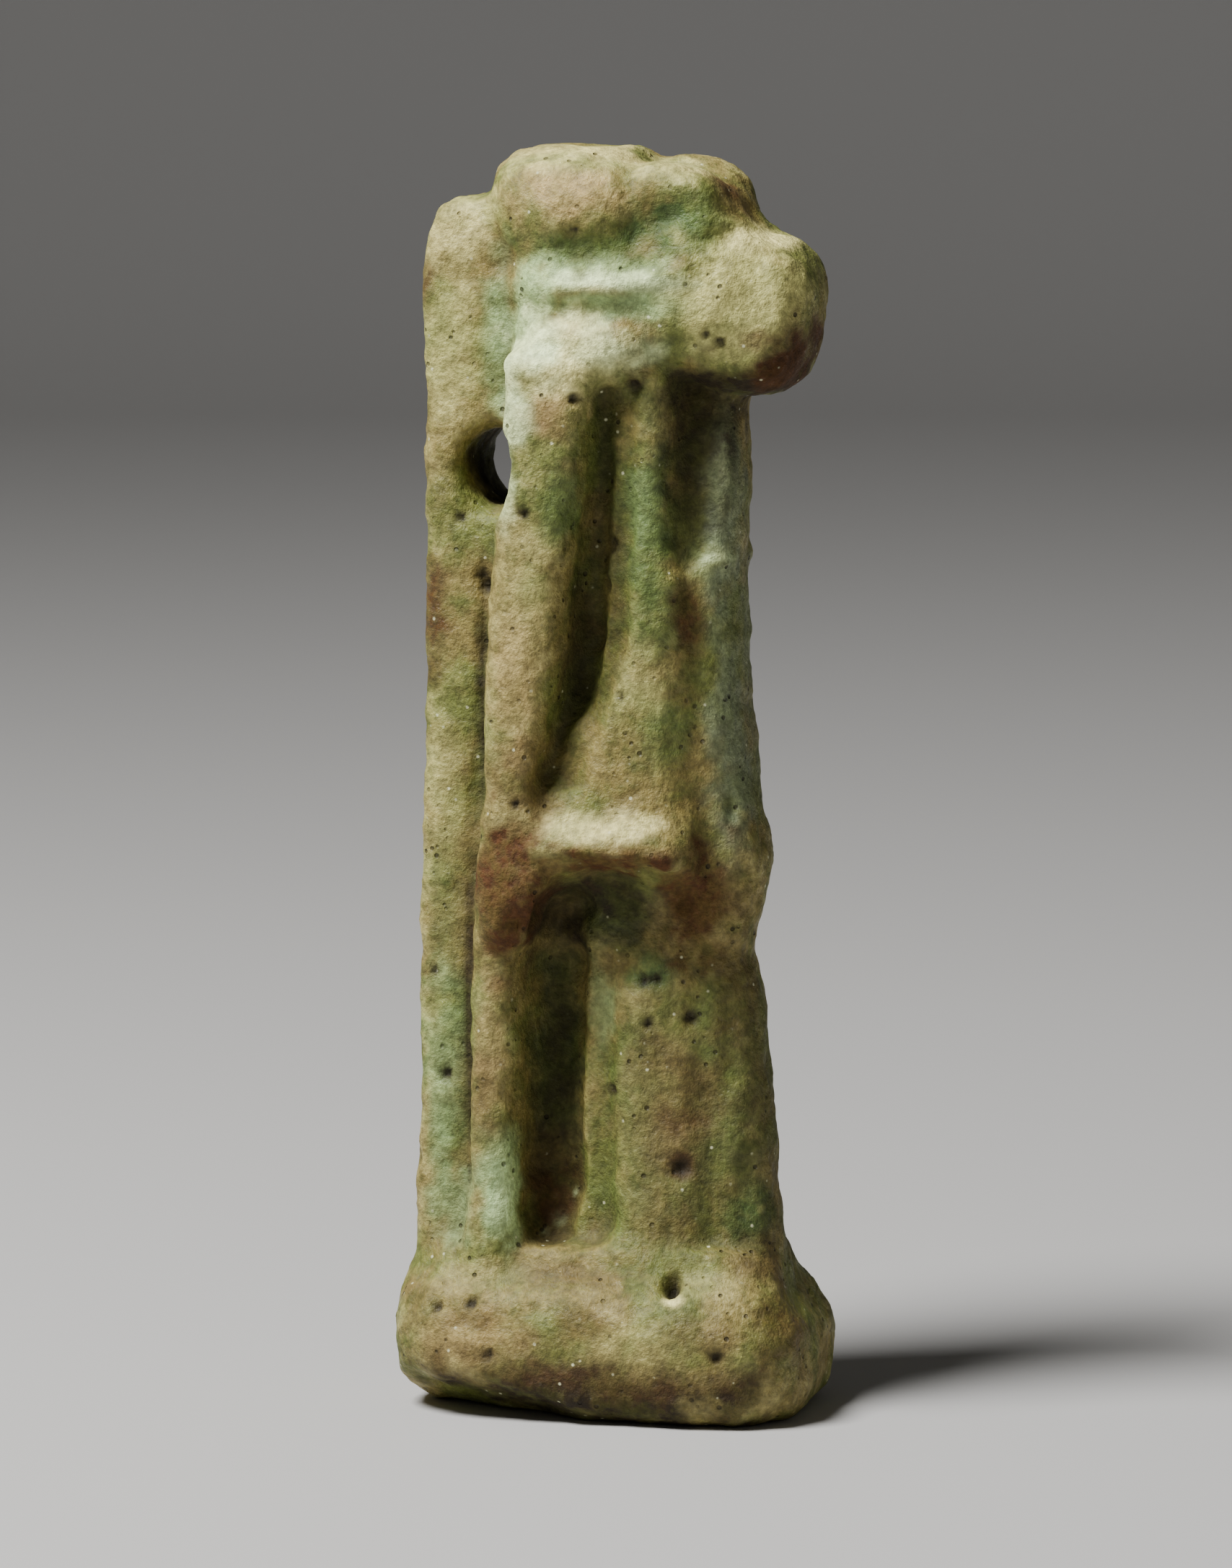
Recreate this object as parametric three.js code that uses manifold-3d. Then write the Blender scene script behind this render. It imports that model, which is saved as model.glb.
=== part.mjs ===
// An Egyptian faience amulet: an animal-headed god striding in front of a back pillar, moulded in
// one piece with the plinth under it and pierced through the pillar for a cord.
// Millimetres. +Z is up, +X is the way that the figure faces, and its right side is at -Y.
// The origin is the middle of the plinth's underside.

import * as THREE from 'three';
import { mergeVertices } from 'three/addons/utils/BufferGeometryUtils.js';
import Module from 'manifold-3d';

const wasm = await Module();
wasm.setup();

// Driving dimensions
const height = 35.5; // underside of the plinth to the crown of the head
const plinthLength = 11.9; // back to front
const plinthWidth = 8.2; // side to side
const plinthHeight = 4; // underside to the soles
const underfootChamfer = 0.9; // worn lower edge all round the plinth
const wornHeight = 0.35; // how high the worn part of the lower right edge is, in its middle
const wornAlong = 11; // degrees that it climbs towards the back
const wornAcross = 31; // degrees that it climbs outwards
const pillarWidth = 4.2; // side to side
const pillarEdge = 0.45; // rounding of the pillar's upright edges
const cordHoleTall = 2.2; // the hole for the cord, up and down
const cordHoleLong = 1.7; // and back to front
const cordHoleHeight = 26.6; // its middle, above the underside
const cordHoleBack = 3.05; // and behind the middle of the plinth
const cordHoleFlare = 0.3; // how much wider its mouths are

// The figure is drawn 31.5 units tall, from its soles up, and keeps its proportions at any height.
const unit = (height - plinthHeight) / 31.5;

const glaze = new THREE.MeshStandardMaterial({ color: 0x8f9069, roughness: 0.55, metalness: 0 });

// Solids from three.js geometry
function solidOf(geometry) {
  const bare = geometry.clone();
  bare.deleteAttribute('normal');
  bare.deleteAttribute('uv');
  const merged = mergeVertices(bare, 1e-4);
  return new wasm.Manifold(
    new wasm.Mesh({
      numProp: 3,
      vertProperties: new Float32Array(merged.attributes.position.array),
      triVerts: new Uint32Array(merged.index.array),
    }),
  );
}

function joined(solids) {
  return solids.reduce((whole, next) => whole.add(next));
}

function withoutEach(solid, cutters) {
  return cutters.reduce((left, cutter) => left.subtract(cutter), solid);
}

// Pulls a round section out towards its corners: 2 leaves it round, 4 is a block with soft corners.
function squared(v, power) {
  const reach = (Math.abs(v.x) ** power + Math.abs(v.y) ** power + Math.abs(v.z) ** power) ** (1 / power);
  return v.divideScalar(reach);
}

// A form that rises through level sections. Each level gives its height z, its back and front ends,
// and how far it reaches to the figure's right and left of the middle plane.
function column(levels, { power = 2.6, sides = 24 } = {}) {
  const rings = levels.length - 1;
  const geometry = new THREE.CylinderGeometry(1, 1, 1, sides, rings).rotateX(Math.PI / 2);
  const place = geometry.attributes.position;
  const v = new THREE.Vector3();
  for (let i = 0; i < place.count; i += 1) {
    v.fromBufferAttribute(place, i);
    const { z, back, front, right, left } = levels[Math.round((v.z + 0.5) * rings)];
    const spread = Math.hypot(v.x, v.y);
    v.z = 0;
    if (spread > 0) {
      squared(v, power).multiplyScalar(spread);
    }
    const x = (front + back) / 2 + (v.x * (front - back)) / 2;
    const y = (left - right) / 2 + (v.y * (left + right)) / 2;
    place.setXYZ(i, x, y, z);
  }
  return geometry;
}

// A rounded lump round a middle point, reaching size each way, nodding forward by tilt degrees.
function lump({ at, size, power = 2.3, tilt = 0, sides = 22 }) {
  const geometry = new THREE.SphereGeometry(1, sides, Math.round(sides * 0.6)).rotateX(Math.PI / 2);
  const place = geometry.attributes.position;
  const v = new THREE.Vector3();
  for (let i = 0; i < place.count; i += 1) {
    squared(v.fromBufferAttribute(place, i), power);
    place.setXYZ(i, v.x * size[0], v.y * size[1], v.z * size[2]);
  }
  return geometry.rotateY(THREE.MathUtils.degToRad(tilt)).translate(...at);
}

// The same form on the figure's left as on its right
function mirrored(levels) {
  return levels.map((level) => ({ ...level, right: level.left, left: level.right }));
}

function bothSides(levels, options) {
  return [solidOf(column(levels, options)), solidOf(column(mirrored(levels), options))];
}

// Stands the drawn figure on the plinth at its real size
function placed(solid) {
  return solid.scale([unit, unit, unit]).translate([0, 0, plinthHeight]);
}

function plinth() {
  const level = (z, backInset, frontInset, sideInset) => ({
    z,
    back: backInset - plinthLength / 2,
    front: plinthLength / 2 - frontInset,
    right: plinthWidth / 2 - sideInset,
    left: plinthWidth / 2 - sideInset,
  });
  const worn = underfootChamfer;
  return solidOf(
    column(
      [
        level(0, worn, worn * 0.65, worn),
        level(worn * 0.4, worn * 0.4, worn * 0.2, worn * 0.35),
        level(worn, 0.1, 0.02, 0.08),
        level(plinthHeight * 0.62, 0, 0, 0),
        level(plinthHeight * 0.8, 0.1, 0.5, 0.25),
        level(plinthHeight * 0.95, 0.25, 0.85, 0.75),
        level(plinthHeight * 1.07, 0.4, 1, 1.2),
        level(plinthHeight * 1.2, 0.5, 1.3, 1.5),
      ],
      { power: 4.2, sides: 36 },
    ),
  );
}

// The slab behind the figure, from the side, with its rounded top
function pillar() {
  const outline = new THREE.Shape();
  outline.moveTo(-2, -1);
  outline.lineTo(-5.38, -1);
  outline.splineThru([
    new THREE.Vector2(-5.38, 1.5),
    new THREE.Vector2(-5.28, 4),
    new THREE.Vector2(-5.22, 9),
    new THREE.Vector2(-5.05, 16),
    new THREE.Vector2(-5.05, 24),
    new THREE.Vector2(-5.15, 27.2),
    new THREE.Vector2(-5.05, 28.8),
  ]);
  outline.bezierCurveTo(-4.95, 29.7, -4.6, 30.05, -4, 30.05);
  outline.lineTo(-2, 30.1);
  outline.closePath();
  const geometry = new THREE.ExtrudeGeometry(outline, {
    depth: (pillarWidth - 2 * pillarEdge) / unit,
    curveSegments: 16,
    bevelSize: pillarEdge / unit,
    bevelOffset: -pillarEdge / unit,
    bevelThickness: pillarEdge / unit,
    bevelSegments: 3,
  });
  geometry.translate(0, 0, (pillarEdge - pillarWidth / 2) / unit).rotateX(Math.PI / 2);
  return solidOf(geometry);
}

// Legs, kilt and trunk in one rise, with the kilt's hem standing out below the hips
function trunk() {
  const level = (z, back, front, right, left = right) => ({ z, back, front, right, left });
  return solidOf(
    column(
      [
        level(-0.6, -3.6, 4, 2.7, 3.2),
        level(1, -3.6, 3.75, 2.45, 3),
        level(4, -3.55, 3.55, 2.25, 2.9),
        level(8, -3.5, 3.35, 2.1, 2.8),
        level(9.8, -3.4, 3.2, 2.05, 2.75),
        level(10.9, -3.3, 3.2, 2.35, 2.8),
        level(11.6, -3.25, 3.25, 3.2, 3.3),
        level(12.1, -3.2, 3.25, 3.78),
        level(12.5, -3.2, 3.15, 3.65),
        level(13.1, -3.1, 3.05, 3.15),
        level(13.9, -3.1, 3, 2.98),
        level(16, -3, 2.95, 2.95),
        level(18.5, -2.8, 2.9, 3),
        level(19.6, -2.7, 2.85, 2.95),
        level(22, -2.5, 2.7, 2.9),
        level(25, -2.4, 2.5, 3),
        level(27, -2.4, 2.4, 3),
      ],
      { power: 3.2, sides: 28 },
    ),
  );
}

// The mass down the front of the body, under the chin
function frontRidge() {
  const level = (z, front, side) => ({ z, back: 1, front, right: side, left: side });
  return solidOf(
    column(
      [
        level(-0.6, 4.9, 1.9),
        level(1.2, 4.8, 1.65),
        level(4, 4.68, 1.5),
        level(7.6, 4.3, 1.5),
        level(8.9, 3.95, 1.5),
        level(10.2, 4.25, 1.6),
        level(11.6, 4.55, 1.8),
        level(13, 4.15, 1.85),
        level(16, 3.8, 1.85),
        level(19.4, 3.65, 1.9),
        level(22.3, 3.85, 1.8),
        level(24.2, 3.7, 1.75),
        level(26, 3.7, 1.75),
      ],
      { power: 2.8, sides: 20 },
    ),
  );
}

// The right leg, set back against the pillar
function rearLeg() {
  const level = (z, back, front, right) => ({ z, back, front, right, left: 0 });
  return solidOf(
    column(
      [
        level(-0.6, -4.05, -1.9, 3.2),
        level(1, -3.85, -2.1, 3.05),
        level(4, -3.75, -2.15, 2.95),
        level(8, -3.65, -2.1, 2.95),
        level(11, -3.5, -1.6, 3.2),
      ],
      { sides: 20 },
    ),
  );
}

const arm = [
  { z: 9.6, back: -3, front: -1.8, right: 3, left: -1.6 },
  { z: 10.8, back: -3.1, front: -1.45, right: 3.3, left: -1.6 },
  { z: 12.4, back: -3.1, front: -1.35, right: 3.6, left: -1.6 },
  { z: 14, back: -2.95, front: -1.35, right: 3.7, left: -1.6 },
  { z: 16, back: -2.9, front: -1.05, right: 3.75, left: -1.6 },
  { z: 18, back: -2.85, front: -0.7, right: 3.8, left: -1.6 },
  { z: 20, back: -2.75, front: -0.5, right: 3.8, left: -1.6 },
  { z: 22.6, back: -2.5, front: -0.15, right: 3.85, left: -1.6 },
  { z: 24.2, back: -2.35, front: 0.05, right: 3.9, left: -1.6 },
  { z: 25.6, back: -2.3, front: 0.15, right: 3.75, left: -1.6 },
  { z: 26.2, back: -1.9, front: -0.3, right: 3.4, left: -1.6 },
];

// The groove between each arm and the trunk
const armpit = [
  { z: 13.7, back: -1.5, front: -1.05, right: 4.5, left: -2.6 },
  { z: 15, back: -1.3, front: -0.65, right: 4.5, left: -2.2 },
  { z: 16.5, back: -0.9, front: -0.1, right: 4.5, left: -1.9 },
  { z: 18.2, back: -0.6, front: 0.3, right: 4.5, left: -1.7 },
  { z: 20, back: -0.45, front: 0.4, right: 4.5, left: -1.75 },
  { z: 21.6, back: -0.25, front: 0.5, right: 4.5, left: -1.9 },
  { z: 23.5, back: 0, front: 0.65, right: 4.5, left: -2.1 },
  { z: 25, back: 0.1, front: 0.75, right: 4.5, left: -2.4 },
];

// The hollow beside the neck, under the jaw, and the furrow that runs on down from it
const neckHollow = [
  { z: 12.9, back: 2.75, front: 3.25, right: 4.2, left: -2.4 },
  { z: 14, back: 2.6, front: 3.2, right: 4.2, left: -2.15 },
  { z: 16.5, back: 2.45, front: 3.05, right: 4.2, left: -2.1 },
  { z: 18.5, back: 2.35, front: 3.05, right: 4.2, left: -2 },
  { z: 19.3, back: 2.25, front: 3.4, right: 4.2, left: -1.9 },
  { z: 20, back: 2.15, front: 3.7, right: 4.2, left: -1.6 },
  { z: 21.2, back: 2.1, front: 3.85, right: 4.2, left: -1.35 },
  { z: 23, back: 2.05, front: 3.85, right: 4.2, left: -1.1 },
  { z: 25.3, back: 2.05, front: 3.8, right: 4, left: -0.95 },
];

// The deep gap in front of the right leg
const rightLegGap = [
  { z: 0.5, back: -1.75, front: -1, right: 4.2, left: -2 },
  { z: 0.9, back: -2.1, front: -0.65, right: 4.2, left: -1.3 },
  { z: 2.5, back: -2.2, front: -0.5, right: 4.2, left: -0.75 },
  { z: 6, back: -2.2, front: -0.45, right: 4.2, left: -0.6 },
  { z: 8.6, back: -2.1, front: -0.4, right: 4.2, left: -0.8 },
  { z: 9.8, back: -1.5, front: -0.2, right: 4.2, left: -1.2 },
  { z: 11.1, back: -1, front: 0.2, right: 4.2, left: -2.2 },
];

// The slope by which the body falls into a groove behind it: wider to the front and less deep
function slopeInto(groove, { run, upTo }) {
  return groove.map((level) => ({ ...level, front: level.front + run, left: Math.min(level.left, upTo) }));
}

// The gap behind the left leg, which is put forward
const leftLegGap = [
  { z: 0.5, back: -2.4, front: -1.2, right: -2.1, left: 4.2 },
  { z: 0.9, back: -2.9, front: -0.8, right: -1.5, left: 4.2 },
  { z: 2.5, back: -3.1, front: -0.55, right: -1.1, left: 4.2 },
  { z: 6, back: -3.1, front: -0.5, right: -1, left: 4.2 },
  { z: 8.2, back: -2.9, front: -0.7, right: -1.2, left: 4.2 },
  { z: 9, back: -2.4, front: -1.1, right: -2, left: 4.2 },
];

// The head under its long wig: a dome, a fold at the cheek and the roll that lies on the shoulders
function wig() {
  const level = (z, back, front, side) => ({ z, back, front, right: side, left: side });
  return solidOf(
    column(
      [
        level(24.7, -2.3, 0.9, 2.8),
        level(25.4, -2.5, 1.6, 3.4),
        level(26.2, -2.55, 2.2, 3.65),
        level(26.7, -2.6, 2.3, 3.4),
        level(27.1, -2.75, 2.3, 3.05),
        level(27.7, -2.95, 2.4, 3.22),
        level(28.2, -3.05, 2.4, 3.08),
        level(28.7, -3.1, 2.3, 2.85),
        level(29.4, -3.2, 2.2, 3.05),
        level(30.2, -3.3, 1.9, 3),
        level(30.9, -3.15, 1.4, 2.6),
        level(31.3, -2.6, 0.9, 1.95),
        level(31.5, -1.9, 0.4, 1.25),
      ],
      { power: 2.8, sides: 26 },
    ),
  );
}

function head() {
  const brow = (side) => {
    const at = [2.15, side * 1.25, 30.1];
    return lump({ at, size: [1.45, 1.4, 1], power: 2.7, tilt: 12, sides: 18 });
  };
  const forms = [
    lump({ at: [3.9, 0, 26.85], size: [1.93, 2.45, 2.15], power: 3.2, tilt: 10 }), // muzzle
    lump({ at: [3.4, 0, 28.42], size: [2.35, 2.1, 1.35], power: 2.8, tilt: 28 }), // bridge of the nose
    lump({ at: [1.8, 0, 27.2], size: [2.3, 2.95, 2.15], power: 2.5 }), // cheeks
    lump({ at: [2.65, 0, 27.65], size: [2.45, 2.85, 2.1], power: 3, tilt: 22 }), // side of the face
    lump({ at: [2, 0, 29], size: [1.9, 2.7, 1.75], power: 3.2 }), // forehead
    brow(-1),
    brow(1),
  ];
  return forms.map(solidOf);
}

// The arched hollow under the kilt's hem, on the right
function underHem() {
  return solidOf(lump({ at: [0.4, -3.1, 9.55], size: [2.1, 1.35, 2.05], sides: 16 }));
}

// The fist at the end of each arm
function fist(side) {
  return solidOf(lump({ at: [-2.1, side * 2.6, 10.95], size: [1.15, 1.1, 1.7], power: 3.6, sides: 16 }));
}

// The hole for the cord, through the pillar from side to side, wider at its mouths
function cordBore() {
  const r = cordHoleTall / 2;
  const run = pillarWidth / 2;
  const end = plinthWidth;
  const mouth = r + cordHoleFlare;
  const profile = [
    new THREE.Vector2(0, -end),
    new THREE.Vector2(mouth, -end),
    new THREE.Vector2(mouth, -run),
    new THREE.Vector2(r, cordHoleFlare * 2 - run),
    new THREE.Vector2(r, run - cordHoleFlare * 2),
    new THREE.Vector2(mouth, run),
    new THREE.Vector2(mouth, end),
    new THREE.Vector2(0, end),
  ];
  const bore = new THREE.LatheGeometry(profile, 24).scale(cordHoleLong / cordHoleTall, 1, 1);
  return solidOf(bore.translate(-cordHoleBack, 0, cordHoleHeight));
}

// Wear that has taken the plinth's lower edge on the right, more of it towards the back
function wornCorner() {
  const slab = new THREE.BoxGeometry(plinthLength * 3, plinthLength * 3, plinthHeight);
  slab.translate(0, 0, -plinthHeight / 2);
  slab.rotateY(THREE.MathUtils.degToRad(wornAlong)).rotateX(-THREE.MathUtils.degToRad(wornAcross));
  return solidOf(slab.translate(0, -plinthWidth * 0.43, wornHeight));
}

function amulet() {
  const figure = joined([
    pillar(),
    trunk(),
    frontRidge(),
    rearLeg(),
    ...bothSides(arm, { power: 3.6, sides: 20 }),
    fist(-1),
    fist(1),
  ]);
  const carved = withoutEach(figure, [
    ...bothSides(armpit, { sides: 14 }),
    ...bothSides(slopeInto(armpit, { run: 1, upTo: -2.6 }), { sides: 12 }),
    ...bothSides(neckHollow, { power: 2.3, sides: 20 }),
    solidOf(column(rightLegGap, { power: 3, sides: 20 })),
    solidOf(column(slopeInto(rightLegGap, { run: 1.1, upTo: -1.7 }), { sides: 12 })),
    solidOf(column(leftLegGap, { power: 3, sides: 20 })),
    underHem(),
  ]);
  const whole = joined([carved, wig(), ...head()]);
  return withoutEach(joined([plinth(), placed(whole)]), [cordBore(), wornCorner()]);
}

function meshOf(name, solid, material) {
  const { vertProperties, triVerts } = solid.getMesh();
  const geometry = new THREE.BufferGeometry();
  geometry.setAttribute('position', new THREE.BufferAttribute(vertProperties, 3));
  geometry.setIndex(new THREE.BufferAttribute(triVerts, 1));
  geometry.computeVertexNormals();
  const mesh = new THREE.Mesh(geometry, material);
  mesh.name = name;
  return mesh;
}

const part = new THREE.Group();
part.add(meshOf('amulet', amulet(), glaze));

export default part;
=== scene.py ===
import math

import bmesh
import bpy
import numpy as np
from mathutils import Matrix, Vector, noise


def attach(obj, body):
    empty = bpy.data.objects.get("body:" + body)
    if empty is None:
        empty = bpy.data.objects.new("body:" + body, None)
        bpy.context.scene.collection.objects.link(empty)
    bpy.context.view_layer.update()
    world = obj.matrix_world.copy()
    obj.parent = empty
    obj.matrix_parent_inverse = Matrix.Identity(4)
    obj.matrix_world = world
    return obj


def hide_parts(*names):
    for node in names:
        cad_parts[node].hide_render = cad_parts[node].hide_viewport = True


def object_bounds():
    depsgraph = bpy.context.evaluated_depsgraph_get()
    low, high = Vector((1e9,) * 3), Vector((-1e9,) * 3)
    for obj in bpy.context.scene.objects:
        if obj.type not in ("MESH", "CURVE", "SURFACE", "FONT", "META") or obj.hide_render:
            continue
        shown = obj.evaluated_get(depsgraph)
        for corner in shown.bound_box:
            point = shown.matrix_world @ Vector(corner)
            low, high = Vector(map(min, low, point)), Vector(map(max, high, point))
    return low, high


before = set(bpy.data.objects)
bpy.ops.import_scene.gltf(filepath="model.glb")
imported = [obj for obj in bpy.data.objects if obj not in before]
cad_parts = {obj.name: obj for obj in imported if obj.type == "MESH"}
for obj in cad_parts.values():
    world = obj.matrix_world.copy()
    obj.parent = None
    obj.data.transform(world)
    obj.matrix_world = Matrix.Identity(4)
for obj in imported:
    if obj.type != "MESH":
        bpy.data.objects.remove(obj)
solidLow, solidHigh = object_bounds()
print("the solid is loaded")

# Shapes are worked out in millimetres: +X is the way the figure faces, its right side is at -Y.
mm = 0.001

# Each seed's noise is read that many patches away from the last one's
seedStride = (7.3, 3.1, 5.7)
noiseIncrement, noiseLacunarity = 1.0, 2.0


# A mesh as arrays: its points, the two ends of each edge, and how many edges meet at each point

class Skin:
    def __init__(self, mesh):
        self.mesh = mesh
        count = len(mesh.vertices)
        self.points = np.empty(count * 3)
        mesh.vertices.foreach_get("co", self.points)
        self.points = self.points.reshape(-1, 3)
        edges = np.empty(len(mesh.edges) * 2, int)
        mesh.edges.foreach_get("vertices", edges)
        self.starts, self.ends = edges.reshape(-1, 2).T
        self.meeting = np.bincount(self.starts, minlength=count) + np.bincount(self.ends, minlength=count)

    def around(self, values):
        # the mean of each point's neighbours
        total = np.bincount(self.starts, values[self.ends], len(values))
        total += np.bincount(self.ends, values[self.starts], len(values))
        return total / np.maximum(self.meeting, 1)

    def pointsAround(self, points):
        return np.stack([self.around(points[:, axis]) for axis in range(3)], 1)

    def relax(self, rounds):
        # each round moves every point halfway to the middle of its neighbours
        for _ in range(rounds):
            self.points += (self.pointsAround(self.points) - self.points) / 2

    def raiseBy(self, heights, normals):
        # out along the normals, or in where the height is below 0
        self.points += normals * heights[:, None]

    def store(self):
        self.mesh.vertices.foreach_set("co", self.points.ravel())
        self.mesh.update()

    def normals(self):
        self.store()
        found = np.empty(len(self.points) * 3)
        self.mesh.vertices.foreach_get("normal", found)
        return found.reshape(-1, 3)


def fade(distance, radius):
    # 1 on the mark, easing to 0 at the radius
    share = np.clip(1 - distance / radius, 0, 1)
    return share * share * (3 - 2 * share)


def toLine(points, path):
    # distance to a run of straight lines
    nearest = np.full(len(points), np.inf)
    for start, end in zip(path[:-1], path[1:]):
        start, end = np.array(start, float), np.array(end, float)
        along = end - start
        share = np.clip((points - start) @ along / (along @ along), 0, 1)
        nearest = np.minimum(nearest, np.linalg.norm(points - start - share[:, None] * along, axis=1))
    return nearest


def mottle(points, size, seed, octaves=2):
    # smooth random values about 0, with patches of that size
    shift = Vector([seed * stride for stride in seedStride])
    places = (Vector(point) / size + shift for point in points)
    return np.array([noise.fractal(place, noiseIncrement, noiseLacunarity, octaves) for place in places])


amuletForm = {
    "weld": 0.001,         # mm, within which the solid's points are joined
    "grain": 0.14,         # mm, size of the mesh's faces
    "wear": 7,             # rounds of smoothing over the solid's creases
    "reliefWear": 3,       # rounds of smoothing over the relief
    "leftRelief": 0.7,     # how deep the unseen left side's relief is, of the right side's
    "reliefTurn": 2.5,     # how soon relief sets in where the skin turns to the side
    "reliefFrom": 0.4,     # mm from the middle of the figure
    "swell": 0.1,          # mm, slow unevenness of the moulded skin
    "swellSize": 2.6,      # mm, its patches
    "dents": 0.075,        # mm, unevenness about a millimetre across
    "dentSize": 0.9,
    "tooth": 0.022,        # mm, finest unevenness that the mesh carries
    "toothSize": 0.32,
    "pitRim": 1.25,        # how far a pit's slope reaches, of its radius
    "pitTurn": 2,          # as for the relief
    "pitFrom": 0.6,
    "pitDark": 1.5,        # how far up its slope a pit is dark
    "hiddenPits": 46,      # on the left side and the back
    "hiddenRadius": (0.16, 0.34),
    "hiddenDepth": 0.7,    # of the radius
    "leftward": 0.3,       # a normal's Y on the left side
    "backward": -0.6,      # a normal's X on the back
    "smoothing": 60,       # rounds, for the skin that hollows and edges are told from
    "hollow": 0.35,        # mm below that skin where a hollow is at its full
    "edge": 0.22,          # mm above that skin where an edge is at its full
    "ragged": 0.55,        # how uneven the outline of a glaze is, of its reach
    "raggedSize": 0.8,     # mm
    "glazeCore": 0.35,     # a blob is at its full up to there, of its reach
    "glazeFade": 0.95,     # and fades out over that
}

# Relief that the solid is too plain for, drawn over X and Z:
# each is a path, how far it reaches, and how deep it goes in (or stands out, when below 0).
relief = {
    "wig hollow": ([(-2.5, 32.4), (-1, 32.6), (0.7, 33), (2, 33.3)], 0.75, 0.15),
    "wig ridge": ([(-0.9, 31.65), (0.9, 31.75), (2.6, 32.15)], 0.36, -0.18),
    "wig groove": ([(-2.5, 31.2), (0.2, 30.95), (2.4, 31.3)], 0.55, 0.08),
    "eye": ([(1.8, 33.75), (2.5, 33.85)], 0.8, 0.22),
    "jaw line": ([(0.5, 29.8), (1.6, 29.9), (2.8, 29.8)], 0.4, -0.1),
    "nose ridge": ([(3.2, 33.6), (4.3, 33.1), (5.3, 32.3)], 0.4, -0.1),
    "shoulder blend": ([(-2.1, 29.7), (-0.6, 29.5), (0.1, 29.4)], 0.7, -0.12),
    "pillar seam": ([(-3.15, 24), (-3.25, 21), (-3.35, 18.8), (-3.45, 17)], 0.24, 0.16),
    "leg seam": ([(-3.5, 15.5), (-3.7, 12), (-3.7, 6.5)], 0.25, 0.16),
    "chest ledge": ([(2.2, 23.5), (3.1, 24), (3.5, 24.1)], 0.4, -0.15),
    "trunk slope": ([(0.95, 28.3), (0.9, 25.5), (0.8, 23.6), (0.5, 22), (-0.1, 20.2)], 0.95, 0.24),
    "thigh slope": ([(0.15, 12.6), (0.15, 5.6)], 1.1, 0.34),
    "gap top": ([(-1.7, 13.9), (-0.5, 14.4)], 0.8, 0.4),
    "shin dent": ([(3.6, 12.5), (3.7, 9.6)], 0.35, 0.1),
    "ankle dent": ([(4.1, 7.2), (4.2, 5.2)], 0.6, 0.14),
    "slit": ([(3.75, 17.4), (3.75, 16.9)], 0.22, 0.16),
    "hem lip": ([(-1.4, 16.1), (0.6, 16.15), (2.4, 15.9)], 0.3, -0.12),
    "hem end": ([(2.2, 15.9), (2.9, 15.1), (3.3, 13.6)], 0.5, -0.2),
    "plinth dip": ([(-2.4, 4.3), (0.4, 4.15), (3, 4.3)], 0.8, 0.12),
    "plinth waist": ([(-4, 2.6), (-1, 2.4), (3, 2.6)], 0.6, 0.06),
}

# The same in the round, for places that the outline shows
carvings = {
    "forehead hollow": ([(1.4, 0, 34.9), (2.6, 0, 34.5), (3.9, 0, 33.4)], 0.7, 0.14),
    "notch above the nose": ([(4.8, -2, 33.6), (4.7, 0, 33.75), (4.8, 2, 33.6)], 0.95, 0.42),
    "notch of the crown": ([(1.1, -1.8, 35.3), (1.1, 1.8, 35.3)], 0.5, 0.12),
}

# Pits on the right side: X, Z, radius and depth
pits = [
    (-0.2, 28.68, 0.22, 0.2), (1.29, 29, 0.27, 0.26), (-1.6, 25.5, 0.2, 0.2), (-0.4, 33.3, 0.13, 0.08),
    (-4.35, 9.5, 0.24, 0.2), (-4.7, 12.4, 0.2, 0.16), (1.35, 12.35, 0.22, 0.22), (1.7, 12.4, 0.22, 0.22),
    (1.5, 11.15, 0.2, 0.18), (2.65, 11.3, 0.24, 0.22), (2.45, 7.1, 0.34, 0.2), (2.45, 3.95, 0.3, 0.6),
    (-3.2, 3.3, 0.2, 0.2), (-4.2, 3.15, 0.22, 0.18), (-3.15, 23.3, 0.24, 0.26), (-3.3, 23.6, 0.2, 0.2),
    (3.3, 30.45, 0.17, 0.16), (3.65, 30.25, 0.18, 0.16), (-3.9, 25.2, 0.2, 0.14), (0.9, 20.4, 0.18, 0.14),
    (-1.9, 17.4, 0.18, 0.14), (0.4, 9.2, 0.2, 0.14), (-2.6, 1.9, 0.22, 0.16), (3.9, 2.1, 0.24, 0.2),
]

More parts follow.
